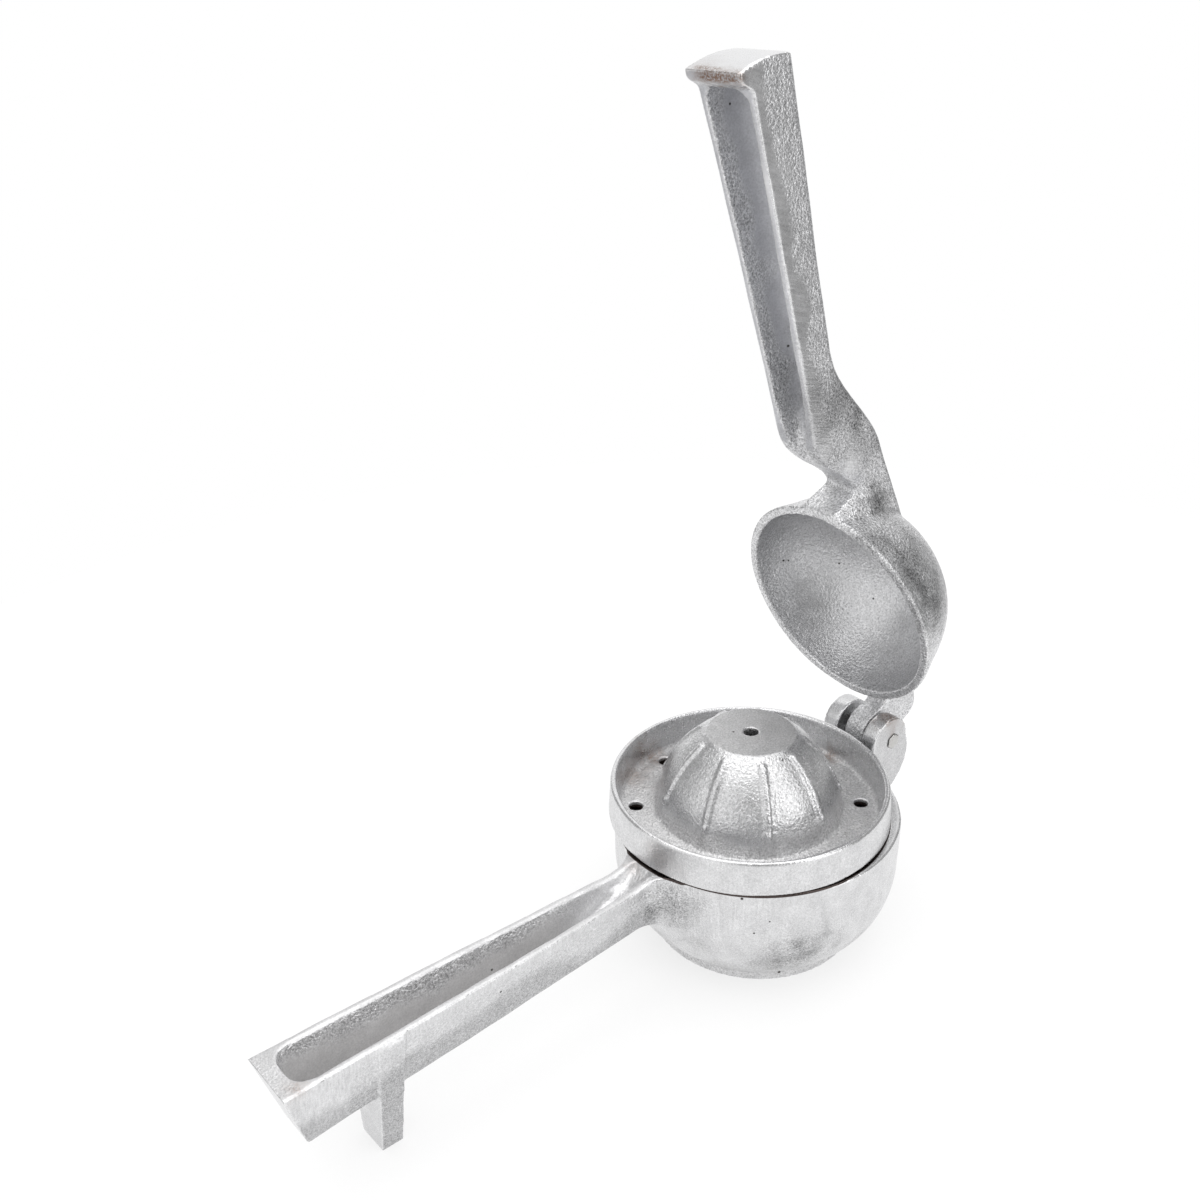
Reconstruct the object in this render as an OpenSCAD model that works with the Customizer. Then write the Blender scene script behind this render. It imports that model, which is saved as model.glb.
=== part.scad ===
// Table-top lever squeezer for lemons and limes, in four aluminium pieces:
// a bowl cast in one with its handle, leg and hinge ears, a loose strainer with a reamer dome,
// a press arm cast in one with its cup, and the riveted pin that joins them.
// The origin is the centre of the foot ring on the table. +X points to the hinge, -X to the
// handles' ends and +Z up. The press arm stands open by rest_open.

/* [Bowl] */
// Outer radius of the bowl's upright wall
bowl_r = 45.6; // [43:0.1:49]
// Height of the bowl's rim above the table
rim_z = 42.9; // [40:0.1:47]
// Height at which the upright wall starts to curve in
bowl_turn_z = 27.2; // [22:0.1:31]
// Radius of the curve between the wall and the bottom, in section
bowl_curve_r = 30; // [26:0.5:33]
// Thickness of the bowl's curved bottom
bowl_wall = 3.6; // [2.5:0.1:4.5]
// Width of the rim beside the mouth, where it is narrowest, at the handle
rim_w = 1.7; // [1.4:0.1:2.6]
// How far the mouth lies off the bowl's centre, towards the handle
mouth_shift = 3.8; // [2:0.1:4]
// Height of the raised band round the mouth that the strainer rests on
seat_h = 0.5; // [0.3:0.05:0.8]
// Width of that raised band
seat_w = 2.6; // [1.8:0.1:3]

/* [Foot ring] */
// Outer radius of the foot ring
foot_r = 33.8; // [31:0.1:36]
// Width of the foot ring's flat bottom
foot_w = 4.5; // [3:0.1:7]
// Height of the foot ring's upright outer edge
foot_h = 3.8; // [3:0.1:5]
// Depth of the hollow inside the foot ring
foot_hollow = 2.2; // [1:0.1:3]

/* [Base handle] */
// Distance from the bowl's centre to the handle's end, along its top
base_handle_reach = 174.5; // [150:0.5:200]
// Height of the handle's top faces at the bowl
base_land_z = 40.7; // [38.5:0.1:41]
// Height of the handle's top faces at its end
base_land_end_z = 41; // [39:0.1:44]
// Height of the handle's underside at the bowl
base_belly_z = 22.8; // [22:0.1:27]
// Height of the handle's underside at its end
base_belly_end_z = 19.4; // [19:0.1:24]
// Width of the handle where it meets the bowl
base_root_w = 11.8; // [11:0.1:16]
// Width of the handle near its end
base_end_w = 19.4; // [16:0.1:24]
// Width that each side wall loses between its top and its bottom
base_draft = 2.7; // [0.6:0.1:3]
// How far the end face leans in under the handle
base_end_lean = 6.2; // [2:0.1:7]
// Width of the flat top of each side wall
base_land_w = 2.2; // [1.6:0.1:2.8]
// Thickness left under the channel
base_floor = 3.4; // [2.5:0.1:5]
// Thickness of the wall that closes the channel's end
base_end_wall = 5; // [3.5:0.1:8]
// Length of the ramp at which the channel runs out towards the bowl
base_ramp_len = 34; // [20:1:45]
// Radius of the fillet, seen from above, between the handle and the bowl
base_root_fillet = 9; // [5:0.5:11]
// Length over which the handle's top rises to the bowl's rim
base_root_rise = 14; // [8:0.5:20]

/* [Leg] */
// Distance from the bowl's centre to the leg's outer face
leg_reach = 147.6; // [130:0.5:160]
// Length of the leg's foot along the handle
leg_foot_len = 6.9; // [5:0.1:9]
// Width of the leg's foot across the handle
leg_foot_w = 10.4; // [7:0.1:13]
// Length of the leg's top along the handle
leg_top_len = 8.4; // [7:0.1:12]
// How far the leg stands out from each side of the handle, at its top
leg_proud = 0.5; // [0.2:0.1:1]

/* [Strainer] */
// How far the strainer's wall reaches past the bowl's mouth, at its foot
ring_lap = 4.6; // [4:0.1:5]
// How much the outside of the wall leans in towards its top
ring_lean = 0.7; // [0:0.1:1.2]
// Height of the strainer's wall above the bowl's rim
ring_h = 12; // [8:0.1:15]
// Width of the strainer's top edge
ring_edge_w = 2; // [1.4:0.1:2.6]
// How much the inside of the wall closes in between its top and the basin
ring_inner_taper = 0.8; // [0.2:0.1:1.6]
// Height of the basin's floor above the bowl's rim
basin_rise = 1.8; // [1.2:0.1:2.2]
// Thickness of the basin's floor
basin_floor = 3; // [2.2:0.1:3.6]
// Radial gap between the strainer's skirt and the bowl's mouth
skirt_gap = 0.3; // [0.15:0.05:0.5]
// Thickness of the strainer's skirt
skirt_w = 1.6; // [1.2:0.1:2]
// Depth to which the skirt reaches below the bowl's rim
skirt_depth = 5; // [3.5:0.1:8]
// Diameter of each drain hole
drain_d = 4.4; // [3.6:0.1:4.8]
// Number of drain holes round the basin
drain_count = 8; // [4:1:12]
// Distance of the drain holes' centres from the strainer's wall
drain_in = 5.3; // [4:0.1:7]
// Direction of the first drain hole
drain_turn = 5; // [0:1:20]

/* [Reamer dome] */
// Height of the dome's flat top above the bowl's rim
dome_rise = 29.1; // [24:0.1:32]
// Radius of the dome's flat top
dome_top_r = 13.7; // [11:0.1:16]
// Width of the basin between the dome's foot and the strainer's wall
basin_w = 12; // [11:0.1:14]
// Radius of the dome's side, in section
dome_side_r = 36; // [32:0.5:60]
// Thickness of the dome's shell
dome_wall = 3.2; // [2.5:0.1:4]
// Diameter of the hole through the dome's top
dome_hole_d = 4.6; // [4.4:0.1:6]
// Number of ribs down the dome
rib_count = 9; // [6:1:12]
// Width of each rib
rib_w = 1.9; // [1.4:0.1:3]
// Height of each rib above the dome
rib_h = 0.7; // [0.4:0.05:1]
// Radius at which the ribs start below the flat top
rib_start_r = 14.6; // [14:0.1:18]
// Direction of the first rib
rib_turn = 36.5; // [0:0.5:60]

/* [Hinge] */
// Distance from the bowl's wall to the hinge pin
pin_out = 8.3; // [7.8:0.1:10]
// Height of the hinge pin above the table
pin_z = 49.2; // [48:0.1:51]
// Diameter of the hinge pin
pin_d = 4; // [3.5:0.1:4.6]
// Radial running clearance of the tongue on the pin
pin_gap = 0.06; // [0.03:0.01:0.09]
// Diameter of the peened head at each end of the pin
pin_head_d = 5.4; // [4.8:0.1:6]
// Height of each peened head
pin_head_h = 0.6; // [0.3:0.1:1]
// Overall width of the two hinge ears
ears_w = 22; // [21:0.1:25]
// Thickness of each ear
ear_t = 5.5; // [4:0.1:5.8]
// Radius of an ear's round top
ear_r = 8.6; // [8:0.1:9.2]
// Radius of the ear's back, which bellies out below the round top and runs into the bowl
ear_belly_r = 14.9; // [14:0.1:16]
// How far the centre of that belly lies below the pin
ear_belly_drop = 5.8; // [5:0.1:7]
// Gap between the tongue's round end and the bottom of the slot
slot_clear = 1; // [0.6:0.1:2]
// Thickness of the tongue that turns between the ears
tongue_t = 7.4; // [6:0.1:8.4]
// Radius of the tongue's round end at the pin
tongue_r = 7.9; // [7:0.1:8]
// Height of the tongue's upper edge above the pin, with the arm closed
tongue_top = 21.2; // [18:0.1:22]
// Height of the tongue's lower edge above the pin, with the arm closed
tongue_foot = 7; // [6.6:0.1:9]
// Radius of the tongue's upper corner
tongue_corner_r = 5.6; // [3:0.1:7]

/* [Press cup] */
// How far the closed cup's centre lies past the strainer's, away from the pin
cup_past = 0.9; // [0:0.1:1.5]
// How far the cup's lip lies below the pin, with the arm closed
cup_drop = 5.6; // [4.6:0.1:5.8]
// Radial gap between the closed cup's lip and the strainer's wall
lip_clear = 5; // [4:0.1:5.6]
// How far the lip stands out past the cup's sphere
lip_out = 1.5; // [1.2:0.1:2.4]
// Height of the lip's upright edge
lip_h = 1; // [0.6:0.1:2]
// Width of the lip's flat face
lip_w = 3; // [2.4:0.1:3.4]
// Thickness of the cup's shell at its crown
cup_wall = 2.8; // [2.2:0.1:3.2]

/* [Press handle] */
// Distance from the pin to the handle's end
arm_reach = 230.6; // [205:0.5:240]
// How far the handle's open faces lie below the pin, with the arm closed
arm_land = 9.5; // [8.5:0.1:12]
// The same at the handle's end
arm_land_end = 12.4; // [10:0.1:13]
// Height of the handle's back above the pin at its thinnest, with the arm closed
arm_back = 3.2; // [1:0.1:4.5]
// The same at the handle's end
arm_back_end = 3.6; // [1:0.1:5]
// Height above the pin of the shoulder that joins the handle to the cup
shoulder_h = 18.6; // [16:0.1:21]
// How much the shoulder climbs towards the cup, per millimetre
shoulder_slope = 0.18; // [0:0.01:0.25]
// Distance from the cup's lip at which the back reaches the shoulder
shoulder_gap = 10.2; // [4:0.1:15]
// Length over which the back rises to the shoulder
bend_len = 42; // [34:1:50]
// Height above the pin of the notch between the cup's lip and the channel
notch_h = 5; // [3:0.1:6]
// Distance from the cup's lip to the notch's top
notch_gap = 4.2; // [3.6:0.1:7]
// Length from the notch's top to the handle's straight open face
notch_len = 24; // [18:1:28]
// Width of the neck at the notch
neck_w = 11.6; // [10:0.1:14]
// How far the neck widens on each side where it meets the cup's lip
lip_flare = 7; // [4:0.5:10]
// Width of the handle where the channel starts
arm_root_w = 14.6; // [13:0.1:18]
// Width of the handle at its end
arm_end_w = 19.2; // [16:0.1:22]
// How far the end lip stands out past the open faces
arm_lip = 3.1; // [1:0.1:4]
// Length over which the end lip stands at its full height
arm_lip_len = 2.4; // [1.6:0.1:5]
// Radius of the crowned end face, seen from the side
arm_crown_r = 37; // [30:1:80]
// Length of the slope between the end lip and the open faces
arm_lip_run = 4; // [2:0.1:6]
// Width that each side of the handle loses between its open face and its back
arm_draft = 0.5; // [0.2:0.1:1.5]
// Width of the flat face along each side of the channel
arm_land_w = 2; // [1.4:0.1:2.8]
// Thickness left behind the channel
arm_floor = 3; // [2.2:0.1:4]
// Angle by which the arm stands open
rest_open = 73.4; // [0:0.1:100]

/* [Hidden] */

// Roundness of turned shapes, and of the corners of lofted ones
$fn = 96;
corner_steps = 4;
// Room that a cut takes past the face it opens
over = 1;

// Corner radii of the lofted handles: crisp at the open faces, soft at the back
edge_r = 0.5;
back_r = 2;
// Share of a quarter turn that a fillet drawn as a height covers, short of its vertical end
fillet_cover = 0.98;
// Blind end of the press arm's channel: over this length it starts narrower and shallower
channel_end_len = 3;
channel_end_in = 1.5;
// Radius, seen from above, at which the base's channel ends, and how far its floor rises there
channel_round = 5.5;
channel_scoop = 6;
// Upright part of the base handle's end face, above its lean
end_face_h = 4;

// Radii that follow from the bowl's, from the outside in
mouth_r = bowl_r - mouth_shift - rim_w;
skirt_r = mouth_r - skirt_gap;
ring_foot_r = mouth_r + ring_lap;
ring_top_r = ring_foot_r - ring_lean;
basin_r = ring_top_r - ring_edge_w - ring_inner_taper;
drain_circle_r = basin_r - drain_in;
dome_foot_r = basin_r - basin_w;
lip_r = basin_r - lip_clear;
cup_r = lip_r - lip_out;

// Places that follow from the driving sizes
seat_z = rim_z + seat_h;
ring_top_z = rim_z + ring_h;
basin_z = rim_z + basin_rise;
pin_x = bowl_r + pin_out;
ear_inner_y = ears_w / 2 - ear_t;
slot_floor_z = pin_z - tongue_r - slot_clear;
dome_top_z = rim_z + dome_rise;
handle_root_x = -sqrt(bowl_r * bowl_r - pow(base_root_w / 2, 2));
// Distances from the pin along the press arm
cup_reach = pin_x + mouth_shift + cup_past;
lip_side = cup_reach + lip_r;
notch_top = lip_side + notch_gap;
notch_start = notch_top + notch_len;
bend_end = lip_side + shoulder_gap;
bend_start = bend_end + bend_len;
// Where the notch starts down to the cup's lip, and over what length the neck widens there
notch_foot = mix(lip_side, notch_top, 0.7);
notch_run = 10;

// Keeps t between 0 and 1
function clamp01(t) = min(1, max(0, t));
// Eases from 0 to 1, level at both ends
function ease(t) = let (u = clamp01(t)) u * u * (3 - 2 * u);
function mix(a, b, t) = a + (b - a) * t;
// Numbers from a to b in equal steps
function spread(a, b, steps) = [for (i = [0:steps]) mix(a, b, i / steps)];

// Points of an arc about [y, z] from angle a0 to a1
function arc(y, z, r, a0, a1, steps = corner_steps) =
    [for (a = spread(a0, a1, steps)) [y + r * cos(a), z + r * sin(a)]];

// Four-cornered section: half widths, heights and corner radii at its top and at its bottom
function block_section(top_w, foot_w, top_z, foot_z, top_r, foot_r) = concat(
    arc(top_w - top_r, top_z - top_r, top_r, 0, 90),
    arc(top_r - top_w, top_z - top_r, top_r, 90, 180),
    arc(foot_r - foot_w, foot_z + foot_r, foot_r, 180, 270),
    arc(foot_w - foot_r, foot_z + foot_r, foot_r, 270, 360));

// Puts a section's [y, z] points at x, leaning towards +X by lean per millimetre below lean_z
function stand(section, x, lean = 0, lean_z = 0) =
    [for (p = section) [x + lean * max(0, lean_z - p[1]), p[0], p[1]]];

// Skins rings of equal length, which run round counter-clockwise seen from +X and go up in X
module loft(rings) {
    n = len(rings[0]);
    last = (len(rings) - 1) * n;
    sides = [for (j = [0:len(rings) - 2], i = [0:n - 1])
        let (a = j * n + i, b = j * n + (i + 1) % n)
        each [[a, a + n, b + n], [a, b + n, b]]];
    polyhedron(
        points = [for (ring = rings) each ring],
        faces = concat(sides, [[for (i = [0:n - 1]) i]], [[for (i = [n - 1:-1:0]) last + i]]));
}

// ---------------------------------------------------------------- base casting

// Half of the bowl's section: the wall, the curve and the foot ring
module bowl_section() {
    curve_x = bowl_r - bowl_curve_r;
    difference() {
        union() {
            translate([0, bowl_turn_z]) square([bowl_r, rim_z - bowl_turn_z]);
            intersection() {
                translate([curve_x, bowl_turn_z]) circle(bowl_curve_r);
                square([bowl_r, bowl_turn_z]);
            }
            square([curve_x, bowl_turn_z]);
            square([foot_r, foot_h]);
        }
        translate([0, -over]) square([foot_r - foot_w, foot_hollow + over]);
    }
}

// Solid that the bowl's inside leaves: a straight mouth over a round bottom
module bowl_hollow() {
    floor_z = foot_hollow + bowl_wall;
    curve_r = bowl_curve_r - bowl_wall;
    translate([-mouth_shift, 0, 0]) rotate_extrude() {
        translate([0, bowl_turn_z]) square([mouth_r, rim_z + over - bowl_turn_z + seat_h]);
        intersection() {
            translate([mouth_r - curve_r, bowl_turn_z]) circle(curve_r);
            translate([0, floor_z]) square([mouth_r, bowl_turn_z - floor_z]);
        }
        translate([0, floor_z]) square([mouth_r - curve_r, bowl_turn_z - floor_z]);
    }
}

// Raised band round the mouth, kept inside the bowl's outline
module seat_band() {
    intersection() {
        translate([-mouth_shift, 0, rim_z - over]) cylinder(h = over + seat_h, r = mouth_r + seat_w);
        cylinder(h = seat_z, r = bowl_r);
    }
}

// How far x lies along the base handle, from 0 at the bowl to 1 at its end
function base_along(x) = (handle_root_x - x) / (base_handle_reach + handle_root_x);
// Half width of the handle's top at x, which grows fastest near the bowl, and the fillet there
function base_half_w(x) =
    let (along = clamp01(base_along(x)))
    mix(base_root_w, base_end_w, along * (3 - along) / 2) / 2;
function base_flare(x) =
    let (turn = clamp01((x - handle_root_x + base_root_fillet) / base_root_fillet))
    base_root_fillet * (1 - sqrt(1 - turn * turn * fillet_cover));
function base_top_z(x) =
    mix(base_land_z, base_land_end_z, base_along(x))
    + (rim_z - base_land_z) * ease((x - handle_root_x + base_root_rise) / base_root_rise);
function base_belly(x) = mix(base_belly_z, base_belly_end_z, base_along(x));

module base_handle() {
    lean_z = base_land_end_z - end_face_h;
    lean = base_end_lean / (lean_z - base_belly_end_z);
    inside_x = handle_root_x + 4;
    stations = concat(
        spread(-base_handle_reach, handle_root_x - base_root_rise, 6),
        spread(handle_root_x - 0.8 * base_root_rise, handle_root_x, 8),
        [inside_x]);
    loft([for (x = stations)
        let (w = base_half_w(x) + base_flare(x))
        stand(
            block_section(w, w - base_draft, base_top_z(x), base_belly(x), edge_r, back_r),
            x, x == stations[0] ? lean : 0, lean_z)]);
}

// The channel along the handle's top, which runs out in a ramp at the bowl
module base_channel() {
    start = -base_handle_reach + base_end_wall;
    finish = handle_root_x - 3.5;
    ramp_start = finish - base_ramp_len;
    ramp_end_depth = 1;
    stations = concat(
        [for (t = [0, 0.04, 0.15, 0.4, 1]) start + t * channel_round],
        spread(start + 3 * channel_round, ramp_start, 4),
        spread(mix(ramp_start, finish, 0.4), finish, 3));
    loft([for (x = stations)
        let (
            // Shortfall from a full quarter round, 1 at the channel's end
            short = 1 - clamp01((x - start) / channel_round),
            round_off = 1 - sqrt(1 - short * short),
            w = base_half_w(x) - base_land_w - channel_round * round_off,
            ramp = clamp01((x - ramp_start) / base_ramp_len),
            top_z = base_top_z(x),
            deep_z = base_belly(x) + base_floor + channel_scoop * round_off,
            floor_z = mix(deep_z, top_z - ramp_end_depth, ramp),
            foot_w = w - min(base_draft, 0.2 * (top_z - floor_z)),
            foot_r = min(foot_w * 0.8, (top_z - floor_z) * 0.7))
        stand(block_section(w, foot_w, top_z + over + edge_r, floor_z, edge_r, foot_r), x)]);
}

// The leg under the handle's end, which widens to its top and stands out from the handle's sides
module leg() {
    top_z = base_top_z(-leg_reach) - 1;
    top_w = 2 * (base_half_w(-leg_reach) + leg_proud);
    tip_h = 1;
    hull() {
        translate([-leg_reach, -leg_foot_w / 2, 0]) cube([leg_foot_len, leg_foot_w, tip_h]);
        translate([-leg_reach, -top_w / 2, top_z - 2 * tip_h]) cube([leg_top_len, top_w, tip_h]);
        translate([-leg_reach, -top_w / 2 + leg_proud, top_z - tip_h])
            cube([leg_top_len, top_w - 2 * leg_proud, tip_h]);
    }
}

// Side view of a hinge ear: a round top over a belly that runs down to the bowl's wall
module ear_outline() {
    // The round top's centre stands off the pin's by this much
    top = [pin_x - 1.7, pin_z + 0.5];
    inside_x = bowl_r - 5;
    front_x = top.x - ear_r;
    belly_z = pin_z - ear_belly_drop;
    belly_x = top.x + ear_r - sqrt(pow(ear_belly_r, 2) - pow(top.y - belly_z, 2));
    translate(top) circle(ear_r);
    intersection() {
        translate([belly_x, belly_z]) circle(ear_belly_r);
        union() {
            translate([front_x, rim_z]) square([3 * ear_r, top.y - rim_z]);
            translate([inside_x, 0]) square([4 * ear_r, rim_z]);
        }
    }
}

// Both ears in one block, with the slot for the tongue cut down between them
module hinge_ears() {
    difference() {
        rotate([90, 0, 0]) linear_extrude(ears_w, center = true) ear_outline();
        translate([bowl_r, -ear_inner_y, slot_floor_z]) cube([3 * ear_r, 2 * ear_inner_y, 4 * ear_r]);
        translate([pin_x - 2 * ear_r, -ear_inner_y, rim_z]) cube([3 * ear_r, 2 * ear_inner_y, 4 * ear_r]);
        across_pin(pin_d / 2, ears_w + 2 * over);
    }
}

// A cylinder along the hinge's axis
module across_pin(r, length) {
    translate([pin_x, 0, pin_z]) rotate([90, 0, 0]) cylinder(h = length, r = r, center = true);
}

module base_casting() color("silver") {
    difference() {
        union() {
            rotate_extrude() bowl_section();
            seat_band();
            base_handle();
            leg();
            hinge_ears();
        }
        bowl_hollow();
        base_channel();
    }
}

// ---------------------------------------------------------------- strainer insert

// Half of the outer wall, basin floor and skirt
module ring_section() {
    inner_top = ring_top_r - ring_edge_w;
    under_z = basin_z - basin_floor;
    // Bevels of the wall's foot and of its top edge, and the round where it meets the basin
    foot_bevel = 0.4;
    top_bevel = [0.5, 0.6];
    cove = 2;
    polygon([
        [dome_foot_r - dome_wall, under_z], [skirt_r - skirt_w, under_z],
        [skirt_r - skirt_w, rim_z - skirt_depth], [skirt_r, rim_z - skirt_depth], [skirt_r, seat_z],
        [ring_foot_r - foot_bevel, seat_z], [ring_foot_r, seat_z + foot_bevel],
        [ring_top_r, ring_top_z - top_bevel.y], [ring_top_r - top_bevel.x, ring_top_z],
        [inner_top + top_bevel.x, ring_top_z], [inner_top, ring_top_z - top_bevel.y],
        each arc(basin_r - cove, basin_z + cove, cove, 360, 270),
        [dome_foot_r - dome_wall, basin_z]]);
}

// Centre, as [radius, height], of the circle through the edge of the dome's flat top and its foot
function dome_centre() =
    let (
        rise = dome_top_z - basin_z,
        run = dome_foot_r - dome_top_r,
        chord = sqrt(rise * rise + run * run),
        bow = sqrt(dome_side_r * dome_side_r - chord * chord / 4))
    [(dome_top_r + dome_foot_r) / 2 - bow * rise / chord, (dome_top_z + basin_z) / 2 - bow * run / chord];

// Half of a dome's section, grown outwards by grow: a round side under a flat top
module dome_section(grow = 0) {
    rise = dome_top_z - basin_z;
    intersection() {
        translate(dome_centre()) circle(dome_side_r + grow, $fn = 180);
        translate([0, basin_z - basin_floor])
            square([dome_foot_r + basin_floor, rise + basin_floor + min(0, grow)]);
    }
}

// The ribs, cut from a thicker dome so that they follow its side
module dome_ribs() {
    intersection() {
        rotate_extrude() dome_section(rib_h);
        for (i = [0:rib_count - 1])
            rotate(rib_turn + i * 360 / rib_count)
                translate([rib_start_r, -rib_w / 2, basin_z - 1])
                    cube([dome_foot_r - rib_start_r + 1.5, rib_w, dome_top_z - basin_z - 0.4]);
    }
}

module strainer_insert() color("gainsboro") translate([-mouth_shift, 0, 0]) {
    difference() {
        union() {
            rotate_extrude() ring_section();
            rotate_extrude() dome_section();
            dome_ribs();
        }
        translate([0, 0, -over]) rotate_extrude() intersection() {
            dome_section(-dome_wall);
            translate([0, rim_z - skirt_depth]) square([dome_foot_r, dome_top_z]);
        }
        translate([0, 0, rim_z]) cylinder(h = dome_rise + over, d = dome_hole_d);
        for (i = [0:drain_count - 1])
            rotate(drain_turn + i * 360 / drain_count)
                translate([drain_circle_r, 0, basin_z - basin_floor - over])
                    cylinder(h = basin_floor + 2 * over, d = drain_d);
    }
}

// ---------------------------------------------------------------- press arm
// The arm is drawn closed, with the pin at the origin and the cup facing down.

// Half of the cup's section, solid: a sphere that flares to the lip
module cup_section() {
    flare_turn = 24;
    bevel = 0.4;
    intersection() {
        circle(cup_r, $fn = 180);
        square(cup_r);
    }
    polygon([
        [0, 0], [lip_r - bevel, 0], [lip_r, bevel], [lip_r, lip_h],
        [cup_r * cos(flare_turn), cup_r * sin(flare_turn)], [0, cup_r * sin(flare_turn)]]);
}
// Half of the cup's inside: one round face from the crown to the lip's inner edge
module cup_hollow_section() {
    crown = cup_r - cup_wall;
    mouth = lip_r - lip_w;
    sink = (mouth * mouth - crown * crown) / (2 * crown);
    intersection() {
        translate([0, -sink]) circle(crown + sink, $fn = 180);
        translate([0, -over]) square(cup_r + over);
    }
}

// Heights, with the arm closed, of the handle's back and open face at a distance d from the pin
function arm_along(d) = max(0, d - notch_start) / (arm_reach - notch_start);
function arm_back_h(d) =
    mix(arm_back, shoulder_h, ease((bend_start - d) / (bend_start - bend_end)))
    + shoulder_slope * max(0, bend_end - d)
    + (arm_back_end - arm_back) * ease((d - bend_start) / (arm_reach - bend_start));
function arm_land_h(d) = -mix(arm_land, arm_land_end, pow(arm_along(d), 1.4));
function arm_face_h(d) = d > notch_top
    ? mix(notch_h, arm_land_h(d), ease(pow((d - notch_top) / (notch_start - notch_top), 0.8)))
    : mix(notch_h, 0.3 - cup_drop, ease((notch_foot - d) / (notch_foot - lip_side - 0.5)));
// Half widths of the open face, which flares into the cup's lip, and of the back
function arm_face_w(d) =
    let (
        handle = mix(arm_root_w, arm_end_w, arm_along(d)) / 2,
        neck = mix(neck_w / 2, handle, ease((d - notch_top) / (notch_start + 8 - notch_top))),
        flare = lip_flare * pow(clamp01((notch_foot - d) / notch_run), 1.5))
    neck + flare;
function arm_back_w(d) =
    let (shoulder = neck_w / 2 + 1.2)
    mix(shoulder, arm_face_w(d) - arm_draft, ease((d - bend_end) / (bend_start - bend_end)));

module arm_beam() {
    lip_foot = arm_reach - arm_lip_len;
    inside_d = cup_reach + 13;
    stations = concat(
        [arm_reach + over],
        spread(lip_foot, lip_foot - arm_lip_run, 4),
        spread(lip_foot - 20, bend_start, 3),
        spread(bend_start - 6, notch_top + 3, 10),
        [notch_top],
        spread(notch_foot, lip_side + 0.4, 5),
        spread(lip_side - 2.5, inside_d, 4));
    loft([for (d = stations)
        let (
            end_lip = arm_lip * (1 - ease((lip_foot - d) / arm_lip_run)),
            back_w = arm_back_w(d))
        stand(
            block_section(back_w, arm_face_w(d), arm_back_h(d), arm_face_h(d) - end_lip, back_r, edge_r),
            -d)]);
}

// Everything on the cup's side of the handle's crowned end face
module arm_end_bound() {
    depth = 60;
    crown_x = -(arm_reach - arm_crown_r);
    rotate([90, 0, 0]) linear_extrude(depth, center = true) {
        translate([crown_x, -arm_land]) circle(arm_crown_r, $fn = 180);
        translate([crown_x, -arm_land - arm_crown_r]) square([-crown_x, 2 * arm_crown_r]);
    }
}

// The channel along the handle's open face
module arm_channel() {
    start = arm_reach - arm_lip_len - arm_lip_run + 1;
    finish = notch_start - 9;
    // At the neck the channel runs out over this length, to this depth, and narrows this much
    run_out = 23;
    end_depth = 1.5;
    end_in = 2.2;
    stations = concat(
        [start, start - channel_end_len / 2, start - channel_end_len, start - 3 * channel_end_len],
        spread(start - 30, bend_start - 6, 3),
        spread(bend_start - 12, finish, 6));
    loft([for (d = stations)
        let (
            blunt = 1 - ease((start - d) / channel_end_len),
            rise = ease((finish + run_out - d) / run_out),
            face = arm_face_h(d),
            deep = min(arm_back_h(d), arm_back + 1) - arm_floor - blunt * channel_end_in,
            top = mix(deep, face + end_depth, rise),
            w = arm_face_w(d) - arm_land_w - 2 * channel_end_in * blunt - end_in * rise,
            r = min(w * 0.85, (top - face) * 0.8))
        stand(block_section(w - 0.6, w, top, face - over - edge_r, r, edge_r), -d)]);
}

// Side view of the tongue, from the pin to the cup's flank
module tongue_outline() {
    // The upper corner stands back by this much from the round end
    corner_back = 3.1;
    // Radius of the hollow corner under the tongue
    heel_r = 3.8;
    corner_x = tongue_r - tongue_corner_r - corner_back;
    corner_z = tongue_top - tongue_corner_r;
    inside_x = -cup_reach + cup_r - 6;
    circle(tongue_r);
    translate([corner_x, corner_z]) circle(tongue_corner_r);
    polygon([
        [inside_x, tongue_foot], each arc(-tongue_r - heel_r, tongue_foot - heel_r, heel_r, 90, 0),
        [-tongue_r, 0], [tongue_r, 0],
        [corner_x + tongue_corner_r, corner_z], [corner_x, tongue_top], [inside_x, tongue_top]]);
}

module arm_closed() {
    difference() {
        union() {
            translate([-cup_reach, 0, -cup_drop]) rotate_extrude() cup_section();
            intersection() {
                arm_beam();
                arm_end_bound();
            }
            rotate([90, 0, 0]) linear_extrude(tongue_t, center = true) tongue_outline();
        }
        translate([-cup_reach, 0, -cup_drop]) rotate_extrude() cup_hollow_section();
        arm_channel();
        rotate([90, 0, 0]) cylinder(h = tongue_t + 2 * over, r = pin_d / 2 + pin_gap, center = true);
    }
}

module press_arm() color("lightgray")
    translate([pin_x, 0, pin_z]) rotate([0, rest_open, 0]) arm_closed();

// ---------------------------------------------------------------- hinge pin

// The pin, with a peened head drawn over each ear's face
module hinge_pin() color("darkgray") {
    across_pin(pin_d / 2, ears_w);
    for (side = [-1, 1])
        translate([pin_x, side * ears_w / 2, pin_z]) rotate([-side * 90, 0, 0])
            cylinder(h = pin_head_h, d1 = pin_head_d, d2 = pin_d);
}

base_casting();
strainer_insert();
press_arm();
hinge_pin();
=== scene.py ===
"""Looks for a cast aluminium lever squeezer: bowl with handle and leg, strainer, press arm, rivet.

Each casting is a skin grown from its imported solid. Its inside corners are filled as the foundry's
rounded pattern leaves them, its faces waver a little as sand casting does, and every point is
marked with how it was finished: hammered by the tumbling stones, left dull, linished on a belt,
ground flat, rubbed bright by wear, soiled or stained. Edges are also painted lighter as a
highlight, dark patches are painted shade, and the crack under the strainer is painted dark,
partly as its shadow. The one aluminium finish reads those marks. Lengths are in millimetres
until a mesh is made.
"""

import logging
import math
from abc import ABC, abstractmethod
from dataclasses import dataclass, field
from enum import Enum

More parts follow.
